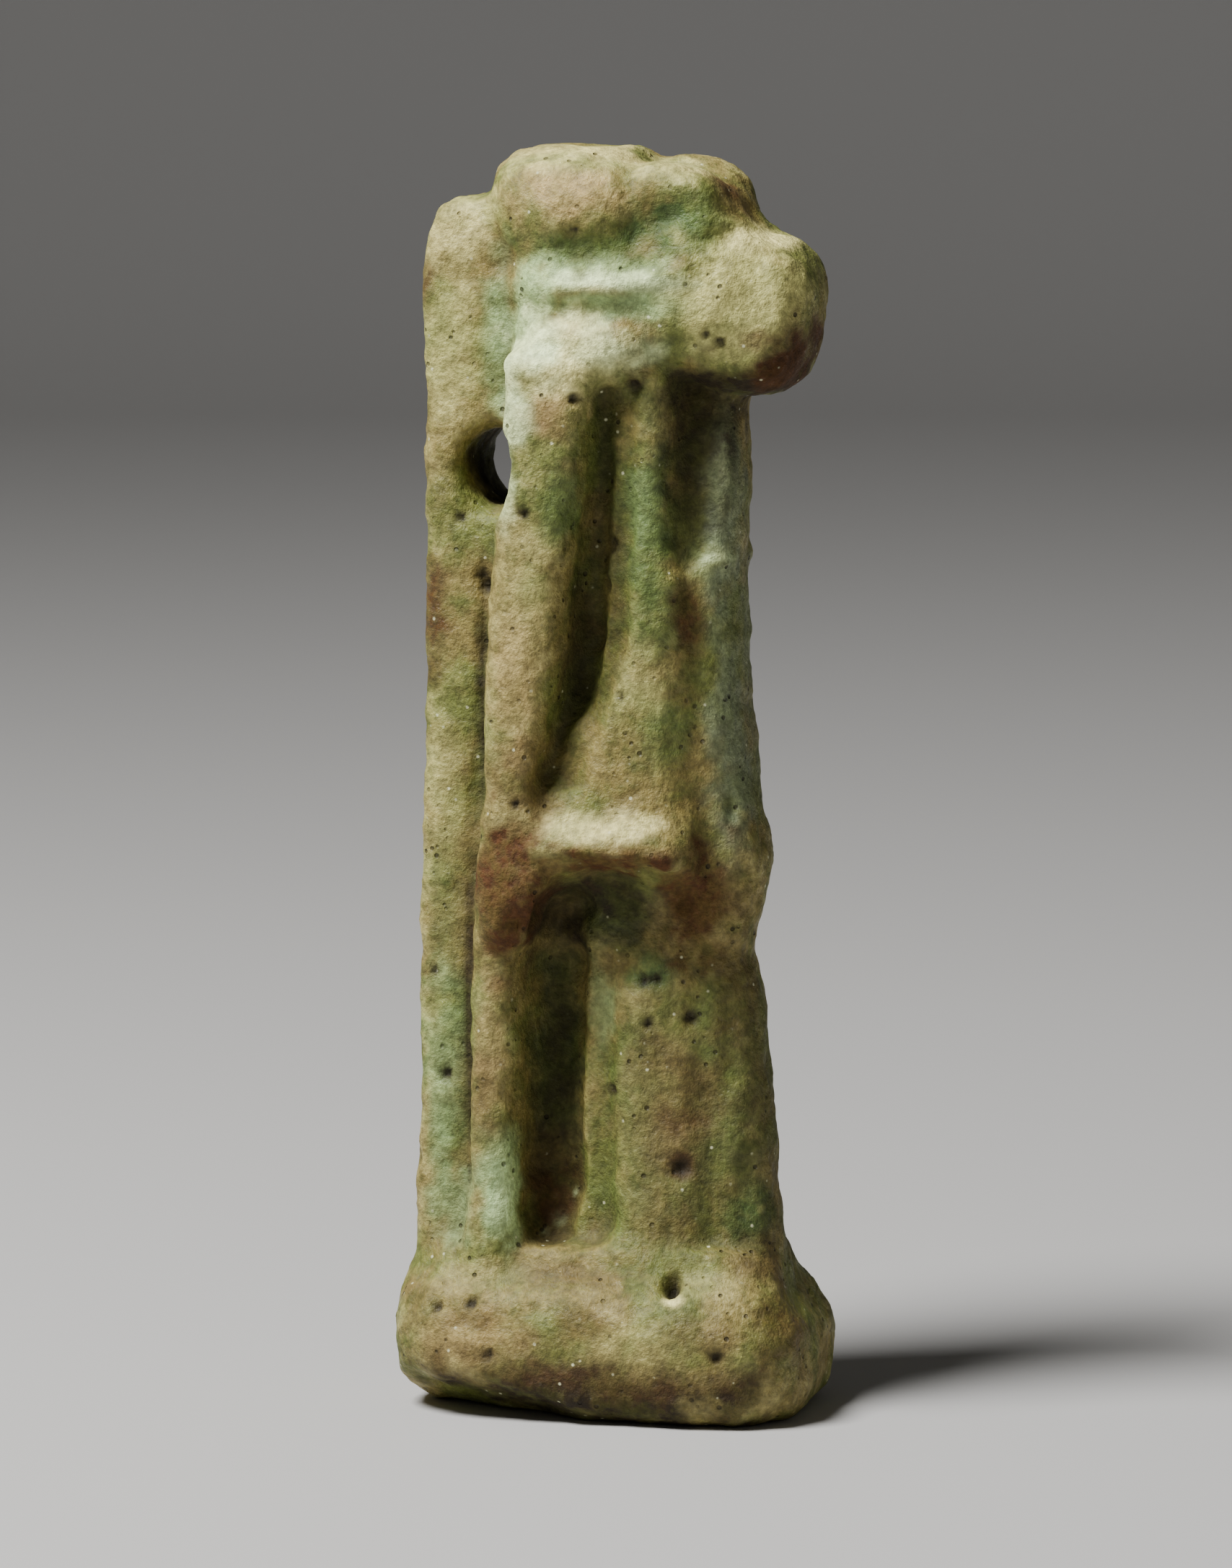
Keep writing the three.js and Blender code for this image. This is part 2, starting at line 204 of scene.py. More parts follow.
# Where the glaze changes colour, and where shade and highlights are painted into it, as blobs with soft
# uneven edges,
# each colour over the last: a place, how far they reach along X, Y and Z, and how strong they are.
glazes = {
    "green": [
        ((-0.5, -2.9, 32.8), (2.1, 1.2, 0.5), 0.9), ((2.3, -2.6, 33.4), (1.6, 1.2, 1.0), 1.0),
        ((2.1, -2.6, 33.8), (0.8, 1.2, 0.5), 1.3), ((0.9, -3.1, 31.2), (2.2, 1.2, 0.5), 0.55),
        ((1.4, -2.8, 25.4), (1.0, 1.2, 3.6), 0.9), ((-4.2, -2.1, 8.6), (0.8, 1.2, 3.6), 0.7),
        ((-4.4, -2.1, 13.6), (0.6, 1.2, 2.6), 0.5), ((0.2, -2.2, 14.2), (1.6, 1.4, 1.0), 0.9),
        ((1.5, -2.0, 12.5), (0.8, 1.2, 0.7), 1.0), ((4.2, -1.2, 5.8), (0.8, 1.2, 1.2), 1.0),
        ((2.1, -2.6, 19.3), (1.0, 1.2, 1.0), 0.6), ((-1.4, -1.0, 10.0), (0.9, 1.2, 3.0), 0.8),
        ((0.2, 3.0, 22.0), (1.6, 1.4, 4.2), 0.6), ((-1.6, 1.6, 9.0), (1.4, 1.6, 3.4), 0.8),
        ((-5.1, 0.2, 19.0), (0.8, 2.2, 4.6), 0.5), ((1.0, -2.2, 9.0), (1.4, 1.2, 3.0), 0.6),
        ((0.9, -2.2, 6.2), (1.6, 1.2, 1.2), 0.5), ((3.4, -1.6, 10.0), (1.0, 1.4, 4.0), 0.5),
        ((2.6, -3.8, 3.2), (1.2, 1.2, 0.8), 0.4), ((-0.6, -3.9, 3.1), (0.9, 1.0, 0.5), 0.4),
        ((-2.9, -3.4, 29.0), (0.6, 1.2, 0.7), 0.5), ((1.7, -2.7, 22.4), (1.2, 1.2, 1.6), 0.6),
        ((-0.6, -3.5, 25.8), (0.7, 1.4, 1.6), 0.8),
    ],
    "turquoise": [
        ((-1.6, -2.8, 31.7), (1.5, 1.2, 0.8), 0.9), ((1.1, -3.0, 32.2), (1.7, 1.0, 0.5), 0.6),
        ((-2.0, -2.8, 30.6), (0.9, 1.2, 1.0), 0.9), ((-2.6, -2.9, 6.3), (0.7, 1.2, 1.7), 1.2),
        ((1.3, -2.8, 25.6), (0.6, 1.0, 1.2), 0.2), ((3.2, -1.7, 24.0), (0.8, 1.2, 0.8), 0.4),
        ((3.7, -1.4, 25.2), (0.6, 1.2, 3.4), 0.3), ((-2.75, -2.4, 30.6), (0.5, 1.0, 2.6), 0.8),
        ((0.8, -3.2, 31.2), (2.2, 1.2, 0.5), 0.75), ((-3.9, -2.3, 5.9), (1.1, 1.2, 1.2), 0.6),
        ((-4.6, -2.1, 9.5), (0.6, 1.2, 3.0), 0.4), ((0.1, -2.0, 11.6), (0.5, 1.2, 1.4), 0.5),
        ((-1.4, 3.0, 31.0), (2.4, 1.2, 1.2), 0.7), ((1.0, 2.8, 25.6), (0.9, 1.2, 1.8), 0.4),
    ],
    "grey": [
        ((3.5, -1.3, 25.6), (0.7, 1.3, 3.6), 0.8), ((3.6, -1.2, 19.0), (0.7, 1.3, 4.2), 0.8),
        ((3.8, 0.6, 21.0), (0.7, 1.6, 5.0), 0.5),
    ],
    "yellow": [
        ((4.5, -2.3, 31.3), (2.1, 1.8, 2.1), 1.0), ((1.3, -2.9, 20.7), (0.9, 1.0, 1.1), 0.45),
        ((-1.6, -3.8, 23.2), (0.8, 1.0, 2.2), 0.3), ((-4.3, -2.1, 30.2), (1.0, 1.2, 2.6), 0.6),
        ((1.6, -4.0, 2.2), (2.0, 1.2, 0.9), 0.5), ((-4.4, -2.0, 17.6), (0.7, 1.2, 2.0), 0.4),
        ((1.4, 2.9, 20.0), (1.2, 1.2, 2.2), 0.5),
    ],
    "pink": [
        ((-0.8, -2.9, 34.4), (1.9, 1.2, 0.9), 0.8), ((-0.9, -3.7, 28.4), (0.9, 1.3, 0.9), 0.95),
        ((-1.9, -3.8, 20.6), (0.8, 1.0, 2.6), 0.5), ((2.2, -2.0, 9.2), (1.5, 1.2, 2.6), 0.3),
        ((-2.8, -4.0, 2.1), (1.8, 1.2, 1.0), 0.5), ((-2.8, -2.9, 10.6), (0.5, 1.0, 2.6), 0.6),
        ((-0.4, 2.8, 34.3), (2.0, 1.2, 0.9), 0.6), ((1.8, 2.6, 9.0), (1.6, 1.2, 3.0), 0.5),
    ],
    # cream: a pale glaze, and a painted highlight on surfaces that face up: the shoulder roll, the hem
    # ledge and the tops of the head, pillar and plinth
    "creamAndHighlight": [
        ((-0.8, -3.5, 29.8), (1.9, 1.4, 1.3), 1.0), ((0.3, -3.3, 16.8), (2.1, 1.2, 0.45), 0.8),
        ((-1.7, -3.8, 16.9), (1.1, 1.0, 0.4), 0.5), ((-4.0, -2.1, 33.3), (1.3, 1.6, 1.2), 0.5),
        ((-0.5, -1.4, 35.3), (2.2, 1.8, 0.5), 0.6), ((2.1, -1.0, 34.9), (1.2, 1.8, 0.5), 0.6),
        ((4.9, -0.9, 33.1), (1.2, 1.7, 0.4), 1.1), ((-3.0, -3.2, 4.1), (1.6, 1.2, 0.5), 0.25),
        ((2.55, -3.4, 3.6), (0.3, 0.8, 0.16), 1.3), ((3.4, -3.0, 4.0), (1.5, 1.2, 0.5), 0.25),
        ((0.4, 3.2, 17.0), (2.2, 0.9, 0.45), 0.8), ((-0.6, 3.5, 29.9), (1.6, 1.2, 0.8), 0.6),
        ((0.4, 3.1, 4.1), (4.4, 1.2, 0.5), 0.5),
    ],
    # milk: a pale turquoise glaze, and painted highlights on the wig ridge, the shoulder roll and in a
    # thin line along the chest ledge
    "milkAndHighlight": [
        ((-1.6, -3.3, 30.0), (1.3, 1.3, 1.3), 1.0), ((0.7, -3.3, 30.1), (1.9, 1.2, 0.7), 0.6),
        ((0.9, -3.1, 31.9), (1.9, 1.0, 0.3), 0.85), ((-2.3, -3.2, 28.4), (0.5, 1.2, 1.8), 0.7),
        ((3.4, -1.8, 24.2), (0.7, 1.0, 0.16), 0.9), ((-1.9, -3.8, 28.4), (0.7, 1.2, 1.2), 0.8),
        ((-2.2, -3.6, 26.4), (0.4, 1.0, 1.5), 0.6), ((-1.3, -1.2, 5.3), (0.22, 0.8, 0.25), 1.0),
        ((-0.9, -1.0, 6.1), (0.12, 0.6, 0.16), 1.0), ((-1.7, -1.6, 5.0), (0.14, 0.6, 0.14), 1.0),
        ((-1.2, 3.3, 30.1), (1.6, 1.2, 0.8), 0.5), ((-2.5, -2.9, 6.1), (0.4, 1.0, 1.2), 0.3),
    ],
    # umber: a brown stain on the muzzle, and mostly painted shade: painted shadow under the jaw and the
    # hem, painted shade in the neck hollow, eye, armpit, leg gap and bore, and along the front and the
    # plinth's foot
    "umberAndPaintedShade": [
        ((0.3, -2.2, 14.6), (2.2, 1.6, 1.0), 1.0), ((2.6, -1.4, 28.6), (1.1, 1.4, 1.5), 1.0),
        ((3.8, -0.8, 34.5), (0.6, 1.3, 0.6), 0.5), ((2.15, -2.6, 33.9), (0.5, 1.2, 0.35), 0.4),
        ((2.6, -1.4, 26.4), (0.8, 1.2, 2.4), 0.7), ((-1.4, -1.0, 8.6), (0.8, 1.6, 4.4), 0.8),
        ((5.0, -0.6, 29.0), (1.7, 2.6, 0.8), 1.5), ((5.7, -1.4, 29.4), (1.5, 2.8, 1.2), 1.5),
        ((0.6, -2.2, 26.4), (0.4, 1.2, 4.0), 0.55), ((0.75, -2.5, 23.6), (0.5, 1.2, 4.0), 0.6),
        ((-0.6, -2.0, 21.4), (0.5, 1.2, 3.6), 0.7), ((0.0, -3.8, 0.7), (7.0, 2.0, 1.25), 1.1),
        ((4.6, -1.0, 9.0), (1.1, 2.6, 6.0), 0.6), ((4.4, 0.4, 20.0), (1.1, 2.4, 9.0), 0.25),
        ((2.6, -1.9, 6.8), (1.8, 1.2, 2.8), 0.5), ((0.2, -3.4, 4.1), (5.0, 1.2, 0.6), 0.2),
        ((1.6, -2.4, 9.5), (2.6, 1.6, 4.2), 0.12), ((-2.9, -3.0, 10.0), (0.6, 1.2, 4.0), 0.12),
        ((0.6, -2.2, 14.2), (2.6, 1.4, 1.5), 0.7), ((2.8, -1.3, 27.6), (1.5, 1.6, 3.0), 0.8),
        ((3.7, -1.2, 28.2), (1.0, 1.7, 1.1), 1.0), ((-3.3, -2.4, 20.0), (0.16, 1.0, 3.4), 1.0),
        ((-3.65, -2.3, 11.0), (0.16, 1.0, 5.4), 1.0), ((-1.2, -2.4, 13.8), (1.1, 1.8, 1.3), 1.2),
        ((3.9, -1.9, 29.0), (1.7, 1.7, 0.75), 1.3), ((-3.05, 0, 26.6), (1.3, 1.6, 1.5), 1.3),
        ((0.3, 2.4, 14.4), (2.2, 1.6, 0.9), 0.8), ((2.6, 1.6, 28.6), (1.1, 1.4, 1.5), 0.8),
        ((0.6, 2.4, 25.0), (0.5, 1.2, 5.0), 0.6), ((-1.6, 1.6, 8.6), (1.2, 1.4, 4.0), 0.7),
    ],
    "rust": [
        ((-2.2, -3.6, 14.8), (1.7, 1.8, 2.7), 1.1), ((2.9, -2.1, 14.7), (1.2, 1.9, 2.2), 1.1),
        ((1.0, -3.7, 15.65), (2.6, 1.2, 0.65), 1.15), ((2.7, -2.3, 22.4), (0.45, 1.0, 1.5), 0.9),
        ((-1.6, -3.7, 18.0), (1.0, 1.2, 1.6), 0.5), ((5.5, -1.4, 29.7), (1.6, 2.8, 1.4), 0.8),
        ((-0.9, -3.5, 28.3), (0.6, 1.6, 0.5), 0.6), ((-0.6, -3.5, 27.8), (0.5, 1.6, 0.6), 0.4),
        ((-1.4, -0.9, 6.1), (0.8, 1.4, 1.4), 0.9), ((3.7, -0.7, 34.6), (0.8, 1.5, 0.8), 0.9),
        ((-2.3, 3.4, 15.2), (1.0, 1.3, 1.6), 0.8), ((2.2, 2.6, 15.6), (1.2, 1.2, 0.8), 0.7),
    ],
    "brown": [
        ((5.5, -2.2, 2.8), (0.9, 1.8, 1.2), 0.8), ((-4.8, -2.0, 22.4), (0.6, 1.4, 2.2), 1.0),
        ((-4.9, -2.0, 31.6), (0.5, 1.4, 0.8), 0.9), ((-1.6, -4.0, 1.5), (2.2, 1.2, 0.6), 0.6),
        ((1.7, -4.0, 1.2), (1.6, 1.2, 0.6), 0.6), ((-5.0, -3.2, 3.2), (0.6, 1.2, 0.8), 0.6),
        ((4.6, -1.5, 4.6), (0.7, 1.2, 0.7), 0.5), ((2.4, -2.0, 7.2), (0.5, 0.9, 0.5), 1.0),
        ((2.9, -1.8, 9.2), (1.3, 1.2, 1.5), 0.65), ((-5.0, 0.8, 12.0), (0.8, 1.4, 3.0), 0.5),
        ((-5.0, -0.2, 27.6), (0.8, 1.6, 2.0), 0.5), ((1.5, 4.0, 1.6), (3.0, 1.2, 0.8), 0.6),
        ((0.2, -4.0, 2.9), (1.1, 1.2, 0.7), 0.6), ((0.5, -4.1, 1.7), (5.5, 1.2, 1.0), 0.4),
        ((3.4, -3.9, 2.6), (1.3, 1.2, 0.7), 0.6), ((-3.2, -4.0, 2.9), (1.1, 1.2, 0.5), 0.5),
        ((-0.6, -3.4, 4.1), (1.4, 1.0, 0.4), 0.5), ((3.6, -1.4, 11.4), (0.6, 1.4, 2.4), 0.6),
        ((2.5, -1.9, 8.7), (1.0, 1.2, 1.1), 0.7), ((1.6, -2.2, 10.4), (0.8, 1.0, 0.7), 0.5),
        ((-3.0, -2.9, 8.6), (0.5, 1.2, 1.6), 0.5), ((-4.6, -2.1, 26.0), (0.6, 1.2, 1.4), 0.4),
    ],
}


def evenSkin(form):
    # one mesh of even faces over the solid, in millimetres
    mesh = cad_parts["amulet"].data.copy()
    work = bmesh.new()
    work.from_mesh(mesh)
    bmesh.ops.remove_doubles(work, verts=work.verts, dist=form["weld"] * mm)
    for vertex in work.verts:
        vertex.co /= mm
    work.to_mesh(mesh)
    work.free()

    piece = bpy.data.objects.new("amuletBody", mesh)
    bpy.context.scene.collection.objects.link(piece)
    remesh = piece.modifiers.new("skin", "REMESH")
    remesh.mode = "VOXEL"
    remesh.voxel_size = form["grain"]
    depsgraph = bpy.context.evaluated_depsgraph_get()
    evened = bpy.data.meshes.new_from_object(piece.evaluated_get(depsgraph))
    piece.modifiers.clear()
    piece.data = evened
    print("the skin has", len(evened.vertices), "points")
    return piece


def facing(skin, normals, side, turn, start):
    # 1 where the skin faces that side (-1 for the right), 0 where it turns away or is near the middle
    return np.clip(side * normals[:, 1] * turn, 0, 1) * (side * skin.points[:, 1] > start)


def drawRelief(skin, form):
    normals = skin.normals()
    flat = skin.points[:, [0, 2]]
    onRight = facing(skin, normals, -1, form["reliefTurn"], form["reliefFrom"])
    onLeft = facing(skin, normals, 1, form["reliefTurn"], form["reliefFrom"])
    drawnOn = onRight + onLeft * form["leftRelief"]
    for path, reach, depth in relief.values():
        skin.raiseBy(-fade(toLine(flat, path), reach) * depth * drawnOn, normals)
    for path, reach, depth in carvings.values():
        skin.raiseBy(-fade(toLine(skin.points, path), reach) * depth, normals)
    skin.relax(form["reliefWear"])


def roughen(skin, normals, form):
    swell = mottle(skin.points, form["swellSize"], 1) * form["swell"]
    dents = mottle(skin.points, form["dentSize"], 2, 3) * form["dents"]
    tooth = mottle(skin.points, form["toothSize"], 3) * form["tooth"]
    skin.raiseBy(swell + dents + tooth, normals)


def sinkPits(skin, normals, form):
    # gives back how dark each point is with pits
    dark = np.zeros(len(skin.points))
    flat = skin.points[:, [0, 2]]
    outward = facing(skin, normals, -1, form["pitTurn"], form["pitFrom"])
    for x, z, radius, depth in pits:
        near = fade(np.linalg.norm(flat - (x, z), axis=1), radius * form["pitRim"]) * outward
        skin.raiseBy(-near * depth, normals)
        dark = np.maximum(dark, np.minimum(near * form["pitDark"], 1))

    # the far side and the back have pits of their own
    scatter = np.random.default_rng(5)
    hidden = np.flatnonzero((normals[:, 1] > form["leftward"]) | (normals[:, 0] < form["backward"]))
    for index in scatter.choice(hidden, form["hiddenPits"], replace=False):
        radius = scatter.uniform(*form["hiddenRadius"])
        away = np.linalg.norm(skin.points - skin.points[index], axis=1)
        near = fade(away, radius * form["pitRim"])
        skin.raiseBy(-near * radius * form["hiddenDepth"], normals)
        dark = np.maximum(dark, near)
    return dark


def heightMarks(skin, form):
    # how far each point lies below or above the skin round it
    smooth = skin.points.copy()
    for _ in range(form["smoothing"]):
        smooth = skin.pointsAround(smooth)
    sunk = ((smooth - skin.points) * skin.normals()).sum(1)
    return {
        "cavity": np.clip(sunk / form["hollow"], 0, 1),
        "edge": np.clip(-sunk / form["edge"], 0, 1),
    }


def glazeMarks(skin, form):
    # where each colour of the glaze lies, painted shade and highlights among them
    marks = {}
    ragged = mottle(skin.points, form["raggedSize"], 11, 4) * form["ragged"]
    for name, blobs in glazes.items():
        marks[name] = np.zeros(len(skin.points))
        for place, reach, strength in blobs:
            away = np.linalg.norm((skin.points - place) / reach, axis=1) + ragged
            covered = fade(away - form["glazeCore"], form["glazeFade"]) * strength
            marks[name] = np.maximum(marks[name], covered)
    return marks


def buildAmulet(form):
    piece = evenSkin(form)
    mesh = piece.data
    skin = Skin(mesh)
    skin.relax(form["wear"])
    print("the creases are worn")
    drawRelief(skin, form)
    print("the relief is drawn")
    normals = skin.normals()
    roughen(skin, normals, form)
    dark = sinkPits(skin, normals, form)
    print("the pits are sunk")

    # no point stands outside the solid's own box, and the underside stays flat
    skin.points = np.clip(skin.points, np.array(solidLow) / mm, np.array(solidHigh) / mm)

    marks = {"pit": dark, **heightMarks(skin, form), **glazeMarks(skin, form)}
    for name, values in marks.items():
        layer = mesh.attributes.new(name, "FLOAT", "POINT")
        layer.data.foreach_set("value", values.astype(np.float32))

    skin.points *= mm
    skin.store()
    mesh.shade_smooth()
    print("the amulet has", sum(len(face.vertices) - 2 for face in mesh.polygons), "triangles")
    return piece


# Colours are linear. Pairs without a unit are levels of noise between which a change sets in.
faience = {
    "olive": (0.15, 0.168, 0.036),
    "khaki": (0.24, 0.187, 0.055),
    "dark": (0.085, 0.105, 0.022),
    "green": (0.08, 0.135, 0.03),
    "turquoise": (0.41, 0.57, 0.24),
    "grey": (0.21, 0.26, 0.15),
    "yellow": (0.58, 0.55, 0.19),
    "pink": (0.47, 0.325, 0.125),
    # pale glaze colour, also used as a painted highlight on tops
    "creamAndHighlight": (0.88, 0.79, 0.31),
    # pale turquoise glaze colour, also used as a painted highlight
    "milkAndHighlight": (0.8, 0.94, 0.48),
    # brown of a stain, used mostly as painted shade
    "umberAndPaintedShade": (0.026, 0.017, 0.005),
    "rust": (0.09, 0.034, 0.008),
    "brown": (0.09, 0.045, 0.012),
    # dark colour for painted shade in hollows, for darker pits and for dirt in pin holes
    "dirtAndShade": (0.022, 0.015, 0.005),
    # colour of the painted glints
    "glint": (0.86, 0.86, 0.56),
    "allNoise": (0.3, 0.7),
    "mottleSize": 2.4,              # mm, patches of olive and khaki
    "khakiPatches": (0.4, 0.6),
    "cloudSize": 0.72,              # mm, clouds that thin the glazes and darken the ground
    "darkClouds": (0.5, 0.7),
    "darkStrength": 0.6,
    "edgeClouds": (0.3, 0.6),
    "edgeStrength": 0.35,           # of cream on worn edges
    "thinClouds": (0.36, 0.62),
    "thinnest": 0.65,               # what a cloud leaves of a glaze
    "speckleSize": 0.2,             # mm, grains of the body showing through the glaze
    "speckleContrast": 0.26,
    "grainSize": 0.08,              # mm, finest grain
    "grainContrast": 0.07,
    "poreSize": 0.42,               # mm, between pin holes
    "poreWidth": (0.1, 0.2),        # where a pore ends, of the space between pores
    "porePatchSize": 1.3,           # mm
    "porePatches": (0.5, 0.62),
    "glintSize": 0.5,               # mm, between painted glints
    "glintWidth": (0.04, 0.13),     # as for pores
    "glintPatchSize": 0.9,          # mm
    "glintPatches": (0.48, 0.6),
    "glintStrength": 0.7,
    # painted shade in hollows, with grime there
    "cavityShadeAndGrime": 0.65,
    # how dark the pits are made
    "pitDarkening": 0.9,
    "poreDirt": 0.75,
    "roughness": (0.42, 0.66),      # across the clouds
    "cavityRoughness": 0.2,         # more in hollows
    "stainAndShadeRoughness": 0.25,         # more on brown stains and on painted shade
    "shinySpeckles": (0.6, 0.72),
    "speckleShine": 0.28,           # less on shiny speckles
    "specular": 0.32,
    "bumpDepth": 0.08,              # mm
    "bumps": {"speckle": 0.8, "grain": 0.2, "cloud": 1.6, "pore": 0.8},
}


# The kinds of node that a material is worked out with, each giving back its result

class Shading:
    def __init__(self, tree):
        self.nodes = tree.nodes
        self.links = tree.links
        self.place = self.nodes.new("ShaderNodeTexCoord").outputs["Object"]

    def put(self, value, socket):
        # a colour or a number as it is, a node's result as a link
        if isinstance(value, tuple):
            socket.default_value = (*value, 1)
        elif isinstance(value, (int, float)):
            socket.default_value = value
        else:
            self.links.new(value, socket)

    def texture(self, size, detail, roughness=0.55, distortion=0.0):
        node = self.nodes.new("ShaderNodeTexNoise")
        node.inputs["Scale"].default_value = 1 / (size * mm)
        node.inputs["Detail"].default_value = detail
        node.inputs["Roughness"].default_value = roughness
        node.inputs["Distortion"].default_value = distortion
        self.put(self.place, node.inputs["Vector"])
        return node.outputs["Fac"]

    def spots(self, size, width):
        # 1 inside scattered round spots, 0 between them
        node = self.nodes.new("ShaderNodeTexVoronoi")
        node.inputs["Scale"].default_value = 1 / (size * mm)
        node.inputs["Randomness"].default_value = 1
        self.put(self.place, node.inputs["Vector"])
        return self.span(node.outputs["Distance"], width, 1, 0)

    def span(self, value, between, bottom=0.0, top=1.0):
        # eases from bottom to top as the value crosses the pair
        node = self.nodes.new("ShaderNodeMapRange")
        node.interpolation_type = "SMOOTHSTEP"
        node.inputs["From Min"].default_value, node.inputs["From Max"].default_value = between
        node.inputs["To Min"].default_value = bottom
        node.inputs["To Max"].default_value = top
        self.put(value, node.inputs["Value"])
        return node.outputs["Result"]

    def mark(self, name):
        node = self.nodes.new("ShaderNodeAttribute")
        node.attribute_name = name
        return node.outputs["Fac"]

    def maths(self, kind, first, second):
        node = self.nodes.new("ShaderNodeMath")
        node.operation = kind
        self.put(first, node.inputs[0])
        self.put(second, node.inputs[1])
        return node.outputs[0]

    def times(self, first, second):
        return self.maths("MULTIPLY", first, second)

    def plus(self, first, second):
        return self.maths("ADD", first, second)

    def minus(self, first, second):
        return self.maths("SUBTRACT", first, second)

    def mixed(self, amount, under, over, kind="MIX"):
        node = self.nodes.new("ShaderNodeMix")
        node.data_type = "RGBA"
        node.blend_type = kind
        sockets = {socket.identifier: socket for socket in node.inputs}
        self.put(amount, sockets["Factor_Float"])
        self.put(under, sockets["A_Color"])
        self.put(over, sockets["B_Color"])
        return next(socket for socket in node.outputs if socket.identifier == "Result_Color")


def faienceMaterial(look):
    material = bpy.data.materials.new("wornFaience")
    material.use_nodes = True
    surface = material.node_tree.nodes["Principled BSDF"]
    do = Shading(material.node_tree)

    mottling = do.texture(look["mottleSize"], detail=5, roughness=0.6, distortion=0.3)
    cloud = do.texture(look["cloudSize"], detail=6, roughness=0.68)
    speckle = do.texture(look["speckleSize"], detail=3, roughness=0.6)
    grain = do.texture(look["grainSize"], detail=2, roughness=0.6)
    porePatches = do.span(do.texture(look["porePatchSize"], detail=3), look["porePatches"])
    pore = do.times(do.spots(look["poreSize"], look["poreWidth"]), porePatches)
    glintPatches = do.span(do.texture(look["glintPatchSize"], detail=3), look["glintPatches"])
    glint = do.times(do.spots(look["glintSize"], look["glintWidth"]), glintPatches)

    # the ground colour, then the glazes with their painted shade and highlights, the painted shade and
    # dirt in hollows, pits and pores, the fine grain, and painted glints over all
    colour = do.mixed(do.span(mottling, look["khakiPatches"]), look["olive"], look["khaki"])
    colour = do.mixed(do.span(cloud, look["darkClouds"], 0, look["darkStrength"]), colour, look["dark"])
    worn = do.times(do.mark("edge"), do.span(cloud, look["edgeClouds"], look["edgeStrength"], 0))
    colour = do.mixed(worn, colour, look["creamAndHighlight"])
    broken = do.span(cloud, look["thinClouds"], 1, look["thinnest"])
    for name in glazes:
        colour = do.mixed(do.times(do.mark(name), broken), colour, look[name])
    # painted shade with grime in hollows, then darker pits, then dirt in pin holes
    colour = do.mixed(do.times(do.mark("cavity"), look["cavityShadeAndGrime"]), colour, look["dirtAndShade"])
    colour = do.mixed(do.times(do.mark("pit"), look["pitDarkening"]), colour, look["dirtAndShade"])
    colour = do.mixed(do.times(pore, look["poreDirt"]), colour, look["dirtAndShade"])
    for fine, contrast in ((speckle, look["speckleContrast"]), (grain, look["grainContrast"])):
        shade = do.span(fine, look["allNoise"], 1 - contrast, 1 + contrast)
        colour = do.mixed(1.0, colour, shade, "MULTIPLY")
    # painted glints: tiny bright specks in the colour
    colour = do.mixed(do.times(glint, look["glintStrength"]), colour, look["glint"])
    do.put(colour, surface.inputs["Base Color"])

    rough = do.span(cloud, look["allNoise"], *look["roughness"])
    rough = do.plus(rough, do.times(do.mark("cavity"), look["cavityRoughness"]))
    # rust stains, and the umber's brown stain and painted shade
    stainsAndShade = do.maths("MAXIMUM", do.mark("rust"), do.mark("umberAndPaintedShade"))
    rough = do.plus(rough, do.times(stainsAndShade, look["stainAndShadeRoughness"]))
    rough = do.minus(rough, do.span(speckle, look["shinySpeckles"], 0, look["speckleShine"]))
    do.put(rough, surface.inputs["Roughness"])
    surface.inputs["Specular IOR Level"].default_value = look["specular"]

    height = do.times(speckle, look["bumps"]["speckle"])
    height = do.plus(height, do.times(grain, look["bumps"]["grain"]))
    height = do.plus(height, do.times(cloud, look["bumps"]["cloud"]))
    height = do.minus(height, do.times(pore, look["bumps"]["pore"]))
    bump = do.nodes.new("ShaderNodeBump")
    bump.inputs["Strength"].default_value = 1.0
    bump.inputs["Distance"].default_value = look["bumpDepth"] * mm
    do.put(height, bump.inputs["Height"])
    do.put(bump.outputs["Normal"], surface.inputs["Normal"])
    return material


amulet = buildAmulet(amuletForm)
amulet.data.materials.clear()
amulet.data.materials.append(faienceMaterial(faience))
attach(amulet, "root")
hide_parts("amulet")
print("the glaze is on")


studio = {
    "ground": (0.5, 0.49, 0.475),
    "groundRoughness": 0.85,
    "floorFront": 0.5,      # metres in front of the amulet
    "floorBack": 0.35,      # metres behind it, where the floor starts to rise
    "sweepRadius": 0.15,
    "sweepSteps": 12,
    "wallTop": 0.7,
    "halfWidth": 0.9,
    "sky": (1, 0.99, 0.97),
    "skyLight": 0.06,
    "keyPower": 1.1,        # watts, large soft lamp up to the left
    "keySize": 0.09,        # metres across
    "keyPlace": (-0.1, 0.18, 0.085),     # metres across, up and towards the camera
    "fillPower": 0.01,      # watts, low on the right
    "fillSize": 0.16,
    "fillPlace": (0.16, 0.03, 0.12),
    "litHeight": 18,        # mm, the middle of the amulet, which the lamps look at
    "azimuth": 15.0,        # degrees, camera round the amulet towards its front
    "elevation": 7.0,       # degrees, camera above level
    "lens": 200.0,          # mm
    "sensor": 36,           # mm, along the frame's height
    "nearest": 0.01,        # metres from the camera
    "frameHeight": 44.4,    # mm of the scene that the frame is tall
    "aimUp": 17.46,         # mm above the origin that the frame's middle looks at
    "aimAcross": 0.02,      # mm
}


